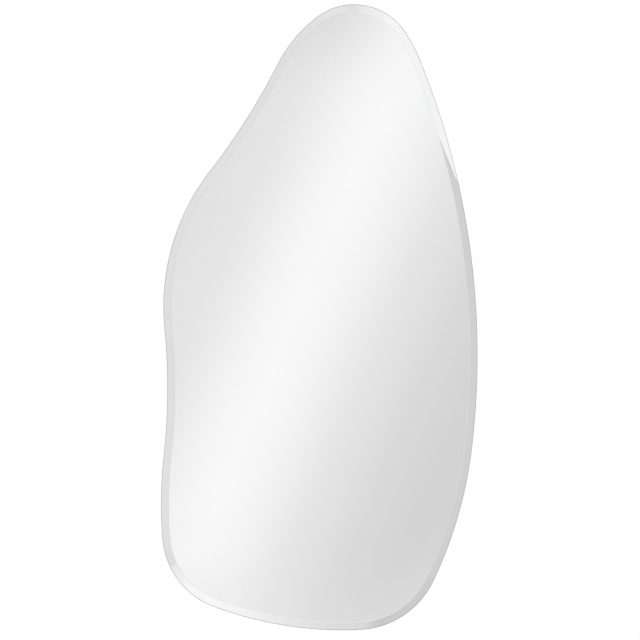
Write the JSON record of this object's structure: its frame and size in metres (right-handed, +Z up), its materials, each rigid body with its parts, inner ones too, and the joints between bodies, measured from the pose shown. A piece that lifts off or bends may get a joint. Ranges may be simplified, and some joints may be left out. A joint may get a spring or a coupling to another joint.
{
  "type": "wall mirror",
  "caption": "Frameless wall mirror with an irregular, pebble-like outline and a bevelled edge, bonded to a backing board that hangs by hinged D-rings.",
  "frame": {"origin": "on the wall plane that the bumpers' faces share, midway between the points where the two rings hang", "axes": "+Z up, the glass faces -Y, the wall is towards +Y, +X is to the viewer's right"},
  "size_m": [0.5051, 0.0267, 0.9994],
  "materials": {
    "clear_glass": "polished float glass with a ground and polished bevel",
    "silvering": "silver seen through the glass",
    "mirror_back_paint": "matt grey protective paint",
    "fibreboard": "medium-density fibreboard painted matt black",
    "foam_tape": "white closed-cell foam",
    "adhesive": "cured neutral silicone",
    "plated_strip": "nickel-plated steel strip",
    "plated_wire": "nickel-plated steel wire",
    "plated_screw": "zinc-plated steel",
    "rubber": "matt black rubber"
  },
  "bodies": {
    "mirror": {"mirror_glass": "clear_glass", "silver_coating": "silvering", "backing_paint": "mirror_back_paint", "backing_board": "fibreboard", "mounting_tape_1": "foam_tape", "mounting_tape_2": "foam_tape", "mounting_tape_3": "foam_tape", "mounting_tape_4": "foam_tape", "adhesive_bead_1": "adhesive", "adhesive_bead_2": "adhesive", "adhesive_bead_3": "adhesive", "left_hanger_strap": "plated_strip", "right_hanger_strap": "plated_strip", "left_hanger_screws": "plated_screw", "right_hanger_screws": "plated_screw", "upper_left_bumper": "rubber", "upper_right_bumper": "rubber", "lower_left_bumper": "rubber", "lower_right_bumper": "rubber"},
    "left_ring": {"left_hanger_ring": "plated_wire"},
    "right_ring": {"right_hanger_ring": "plated_wire"}
  },
  "joints": [
    {"name": "left_ring_swing", "type": "hinge", "parent": "mirror", "child": "left_ring", "pos_m": [-0.12, -0.00515, -0.0155], "axis": [-1, 0, 0], "range_deg": [0, 178]},
    {"name": "right_ring_swing", "type": "hinge", "parent": "mirror", "child": "right_ring", "pos_m": [0.12, -0.00515, -0.0155], "axis": [-1, 0, 0], "range_deg": [0, 178]}
  ]
}
